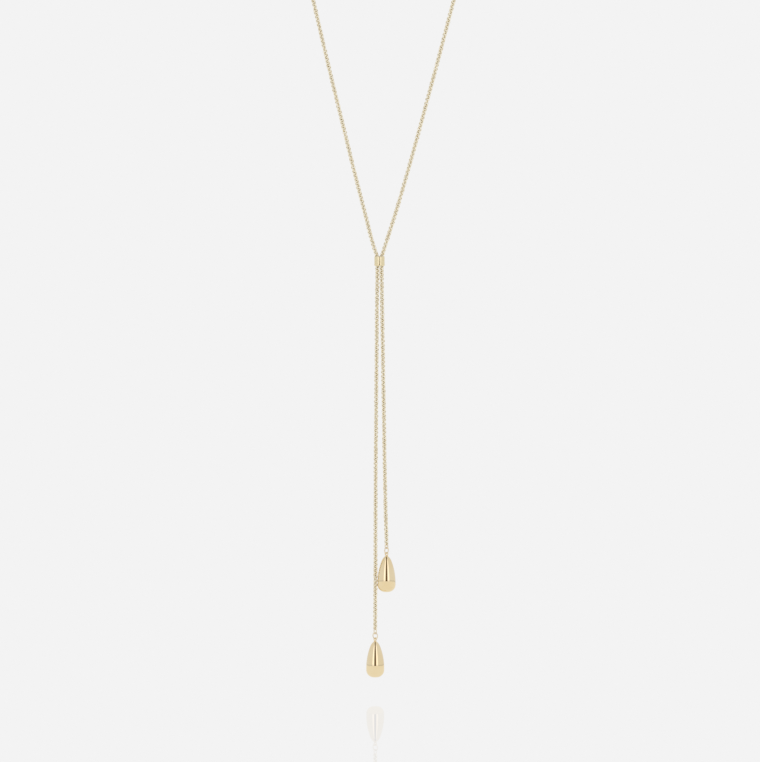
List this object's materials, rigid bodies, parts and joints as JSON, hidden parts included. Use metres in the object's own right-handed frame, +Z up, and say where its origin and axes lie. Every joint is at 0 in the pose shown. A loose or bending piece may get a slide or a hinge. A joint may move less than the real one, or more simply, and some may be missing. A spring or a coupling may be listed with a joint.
{
  "type": "lariat necklace",
  "caption": "Fine round-link chain necklace whose ends pass through a barrel slider and hang as tails of unequal length, each with a polished teardrop.",
  "frame": {"origin": "middle of the chain at the back of the neck, where the necklace hangs", "axes": "+Z up, the front of the necklace faces -Y, +X towards the short tail's arm"},
  "size_m": [0.1178, 0.1246, 0.4395],
  "materials": {
    "chain": "bright gold plating on fine links",
    "polished": "mirror-polished gold plating",
    "wire": "polished gold-plated wire"
  },
  "bodies": {
    "necklace": {"chain_long": "chain", "chain_short": "chain", "slider": "polished", "end_link_long": "wire", "end_link_short": "wire"},
    "long_ring": {"jump_ring_long": "wire"},
    "long_drop": {"drop_long": "polished"},
    "short_ring": {"jump_ring_short": "wire"},
    "short_drop": {"drop_short": "polished"}
  },
  "joints": [
    {"name": "long_ring_swing", "type": "hinge", "parent": "necklace", "child": "long_ring", "pos_m": [-0.0058, -0.12, -0.42037], "axis": [-0.7071, -0.7071, 0], "range_deg": [-60, 60]},
    {"name": "long_drop_swing", "type": "hinge", "parent": "long_ring", "child": "long_drop", "pos_m": [-0.0058, -0.12, -0.42252], "axis": [0.7071, -0.7071, 0], "range_deg": [-60, 60]},
    {"name": "short_ring_swing", "type": "hinge", "parent": "necklace", "child": "short_ring", "pos_m": [-0.00105, -0.12, -0.38427], "axis": [0.8192, -0.5736, 0], "range_deg": [0, 60]},
    {"name": "short_drop_swing", "type": "hinge", "parent": "short_ring", "child": "short_drop", "pos_m": [-0.00105, -0.12, -0.38643], "axis": [-0.5736, -0.8192, 0], "range_deg": [0, 60]}
  ]
}
